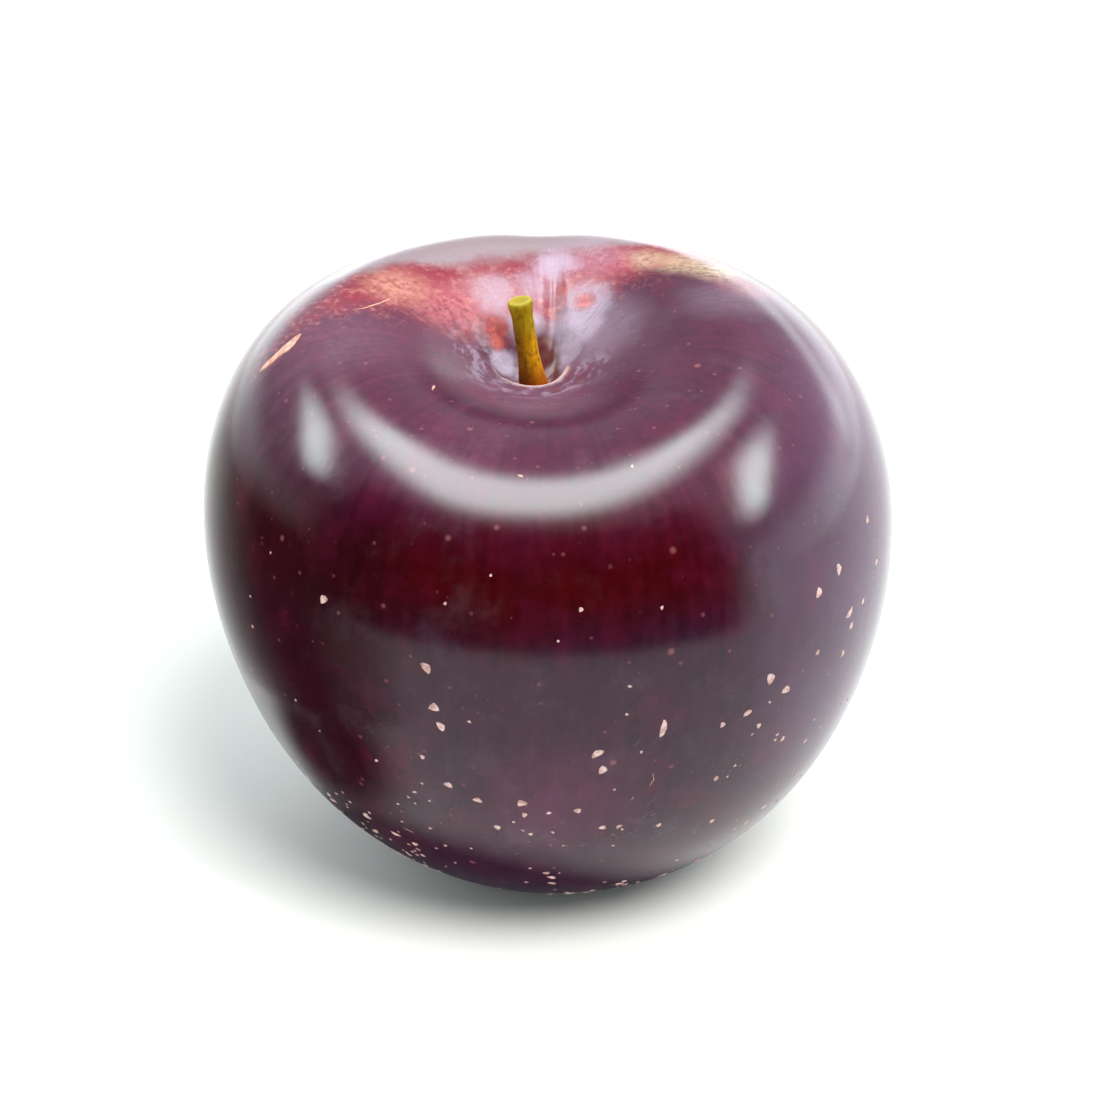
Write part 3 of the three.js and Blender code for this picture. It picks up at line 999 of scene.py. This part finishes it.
# A strip that faces the plum, along points given as a place, a half width and a brightness.
def addStrip(name, points, material):
    profile = [(-1, 0), (-0.6, 0.75), (0, 1), (0.6, 0.75), (1, 0)]
    vertices = []
    shares = []
    for i, (place, half, bright) in enumerate(points):
        place = Vector(place)
        ahead = Vector(points[min(i + 1, len(points) - 1)][0]) - Vector(points[max(i - 1, 0)][0])
        side = ahead.cross(place).normalized() * half
        vertices += [place + side * across for across, _ in profile]
        shares += [bright * light for _, light in profile]
    addSheet(name, vertices, shares, len(profile), material)


# Steps along a smooth line through a few points of any number of values.
def along(points, steps=6):
    padded = [points[0], *points, points[-1]]
    line = []
    for four in zip(padded, padded[1:], padded[2:], padded[3:]):
        for k in range(steps):
            t = k / steps
            line.append([0.5 * (2 * b + (c - a) * t + (2 * a - 5 * b + 4 * c - d) * t * t
                                + (3 * b - a - 3 * c + d) * t ** 3) for a, b, c, d in zip(*four)])
    return line + [list(points[-1])]


# A direction, round from the front and up from the floor, as a place at a distance from the plum.
def towards(around, up, distance):
    up = math.radians(up)
    return (*onCircle(around, math.cos(up) * distance), math.sin(up) * distance + studio["middle"])


# The overhead box is a wide oval with a narrow oval hole at its back, and it fades out to the back. Places
# and radii are in shares of its height.
overheadBox = {"reach": 1.2, "middleX": -0.03, "middleY": 0.2, "radiusX": 0.47, "radiusY": 0.7, "edge": 0.36,
               "holeX": 0.01, "holeY": 0.57, "holeRadiusX": 0.17, "holeRadiusY": 0.36, "holeEdge": 0.5,
               "shear": 0.15, "squareness": 2.6, "fadeFrom": 0.45, "fadeTo": 0.82}


# Each side box: degrees round from the front, degrees up, half width in shares of its distance, brightness.
sideBoxes = {
    "leftBox": [(-136, 47, 0.1, 0), (-126, 47, 0.12, 0.5), (-114, 46, 0.13, 1), (-102, 41, 0.13, 1.1),
                (-95, 36, 0.12, 0.9), (-89, 30, 0.1, 0.1), (-86, 27, 0.09, 0)],
    "rightBox": [(130, 51, 0.1, 0), (117, 50, 0.12, 0.3), (103, 47, 0.12, 1.1), (90, 40, 0.12, 1.3),
                 (82, 32, 0.11, 1.2), (77, 25, 0.1, 0.5), (74, 20, 0.08, 0)],
    "backBox": [(176, 14, 0.08, 0), (166, 16, 0.09, 0.2), (155, 20, 0.09, 0.24), (145, 20, 0.09, 0.25),
                (137, 16, 0.09, 0.25), (131, 9, 0.09, 0.24), (125, 1, 0.08, 0)],
}


def addSurround():
    world = bpy.data.worlds.new("surround")
    world.use_nodes = True
    tree = world.node_tree
    _, back, up = coordinates(tree, addNode(tree, "ShaderNodeTexCoord").outputs["Generated"])
    low = studio["frontHorizon"] + smooth(back, -0.7, 0.2) * (studio["horizon"] - studio["frontHorizon"])
    strength = low + smooth(up, 0.08, 0.3) * (studio["sky"] - low)
    plug(tree.nodes["Background"].inputs["Strength"], strength)
    tree.nodes["Background"].inputs["Color"].default_value = (*studio["tint"], 1)
    scene.world = world
    scene.view_settings.view_transform = "Standard"


def addFloor():
    material, _, shader = startMaterial("paleFloor")
    shader.inputs["Base Color"].default_value = (*studio["floorColour"], 1)
    shader.inputs["Roughness"].default_value = studio["floorRoughness"]
    addStage("floor", square(0, 0, 0, studio["floorSize"] / 2), [(0, 1, 2, 3)], material, glossOnly=False)


def overheadMaterial():
    box = SimpleNamespace(**overheadBox)
    material, tree, end = startSurface("overheadBox")
    place = scaled(tree, addNode(tree, "ShaderNodeTexCoord").outputs["Object"], 1 / studio["boxHeight"])
    x, y, _ = coordinates(tree, place)
    y = y - x * box.shear

    def inside(middleX, middleY, radiusX, radiusY, edge):
        across = ((x - middleX) / radiusX).math("ABSOLUTE") ** box.squareness
        ahead = ((y - middleY) / radiusY).math("ABSOLUTE") ** box.squareness
        return smooth((across + ahead) ** (1 / box.squareness), 1 + edge, 1 - edge)

    glow = inside(box.middleX, box.middleY, box.radiusX, box.radiusY, box.edge)
    glow = glow * (1 - inside(box.holeX, box.holeY, box.holeRadiusX, box.holeRadiusY, box.holeEdge))
    glow = glow * smooth(y, box.fadeTo, box.fadeFrom)
    plug(end, partlyClear(tree, glow.math("MINIMUM", 1), lampSurface(tree, glow * studio["boxGlow"])))
    return material


def addBoxes():
    height = studio["boxHeight"]
    corners = square(0, 0, height + studio["middle"], overheadBox["reach"] * height)
    addStage("overheadBox", corners, [(0, 3, 2, 1)], overheadMaterial())
    material, tree, end = startSurface("softBox")
    plug(end, lampSurface(tree, pointShare(tree) * studio["boxGlow"]))
    for name, points in sideBoxes.items():
        bar = [(towards(around, up, height), half * height, bright)
               for around, up, half, bright in along(points)]
        addStrip(name, bar, material)


# A low ring of light round the sides and the back. It adds to the surround in the gloss only.
def addRing():
    start, end = studio["ringEnds"]
    steps = 48
    vertices = []
    shares = []
    for i in range(steps + 1):
        around = start + (end - start) * i / steps
        behind = min(1, min(around - start, end - around) / studio["ringSoftEnd"])
        for up, bright in studio["ringLevels"]:
            height = studio["middle"] + studio["ringRadius"] * math.tan(math.radians(up)) if up else 0
            vertices.append((*onCircle(around, studio["ringRadius"]), height))
            shares.append(bright * behind)
    material, tree, surface = startSurface("ringGlow")
    lamp = lampSurface(tree, pointShare(tree) * studio["ringGlow"])
    clear = fromNode(tree, "ShaderNodeBsdfTransparent")
    plug(surface, fromNode(tree, "ShaderNodeAddShader", {0: clear, 1: lamp}))
    addSheet("ring", vertices, shares, len(studio["ringLevels"]), material)


# Dark discs on the floor keep the bright floor out of the gloss of the plum's underside and its lower left: a
# painted shadow, seen only in the gloss, under the plum and at its lower left.
discs = {
    "footDisc": {"middle": (-0.006, -0.003, 0.0004), "reach": 0.0245, "solid": 0.0155},
    "leftDisc": {"middle": (-0.038, -0.014, 0.0008), "reach": 0.024, "solid": 0.01},
}


def addDisc(name, middle, reach, solid):
    material, tree, end = startSurface(name)
    place = addNode(tree, "ShaderNodeTexCoord").outputs["Object"]
    plug(end, partlyClear(tree, smooth(vectorMath(tree, "DISTANCE", place, middle), reach, solid)))
    addStage(name, square(*middle, reach), [(0, 1, 2, 3)], material)


# The card stands in an arc round the front, and thins out at its ends and its top.
def cardMaterial():
    material, tree, end = startSurface("darkCard")
    x, y, z = coordinates(tree, addNode(tree, "ShaderNodeTexCoord").outputs["Object"])
    turn = (x.math("ARCTAN2", y * -1) + math.radians(studio["cardTurn"])).math("ABSOLUTE")
    side = math.radians(studio["cardHalfAngle"])
    solid = smooth(turn, side, side - studio["cardSoftAngle"])
    solid = solid * smooth(z, studio["cardTop"], studio["cardTop"] - studio["cardSoftTop"])
    plug(end, partlyClear(tree, solid))
    return material


def addCard():
    steps = 40
    vertices = []
    for i in range(steps + 1):
        turn = studio["cardHalfAngle"] * (2 * i / steps - 1) - studio["cardTurn"]
        place = onCircle(turn, studio["cardRadius"])
        vertices += [(*place, 0), (*place, studio["cardTop"])]
    faces = [(2 * i, 2 * i + 2, 2 * i + 3, 2 * i + 1) for i in range(steps)]
    addStage("frontCard", vertices, faces, cardMaterial())


# Dark flags with soft edges, in millimetres: the places of a foot and the levels above it, each with a share
# of the dark. One stands close to the left of the front and puts a painted dark reflection on the plum's left
# side, and one stands behind the plum.
flags = {
    "sideFlag": {
        "foot": [(-32, -46, 0), (-35, -38, 0.6), (-41, -24, 1), (-45, -12, 1), (-47, 2, 0.8), (-45, 16, 0.4),
                 (-40, 28, 0)],
        "levels": [(0, 0.8), (8, 1), (42, 1), (60, 0)],
    },
    "backFlag": {
        "foot": [(-36, 100, 0), (-24, 100, 0.8), (0, 100, 0.8), (18, 100, 0.8), (27, 100, 0)],
        "levels": [(59, 0), (69, 1), (98, 1), (112, 0)],
    },
}


def addFlag(name, foot, levels):
    vertices = [(x * mm, y * mm, z * mm) for x, y, _ in foot for z, _ in levels]
    shares = [side * level for _, _, side in foot for _, level in levels]
    material, tree, end = startSurface(name)
    plug(end, partlyClear(tree, pointShare(tree)))
    addSheet(name, vertices, shares, len(levels), material)


# Makes a lamp light these things and nothing else.
def lightOnly(lamp, things):
    lit = bpy.data.collections.new(lamp.name + "Only")
    for thing in things:
        lit.objects.link(thing)
    lamp.light_linking.receiver_collection = lit


# A broad sun that lights nothing but the floor, so that the floor stays white close to the plum.
def addFloorSun():
    sun = addObject("floorSun", bpy.data.lights.new("floorSun", "SUN"))
    sun.data.energy = studio["floorSun"]
    sun.data.angle = math.radians(studio["floorSunAngle"])
    tilt, turn = studio["floorSunTurn"]
    sun.rotation_euler = (-math.radians(tilt), 0, math.radians(turn))
    lightOnly(sun, [bpy.data.objects["floor"]])


def addKey():
    key = addObject("key", bpy.data.lights.new("key", "AREA"))
    key.data.shape = "DISK"
    key.data.size = studio["keySize"]
    key.data.energy = studio["keyPower"]
    key.location = studio["keyPlace"]
    key.rotation_euler = Vector(studio["keyPlace"]).to_track_quat("Z", "Y").to_euler()
    key.visible_glossy = False
    key.visible_camera = False
    lightOnly(key, [fruit, skinDots, skinScars, stem])


addSurround()
addFloor()
addBoxes()
addCard()
for name, flag in flags.items():
    addFlag(name, **flag)
addRing()
for name, disc in discs.items():
    addDisc(name, **disc)
addFloorSun()
addKey()
print("plum: studio set")

for piece, slot in ((fruit, "skin"), (skinDots, "skin"), (skinScars, "skin"), (stem, "stem")):
    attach(piece, "root")
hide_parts("fruit")
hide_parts("stem")
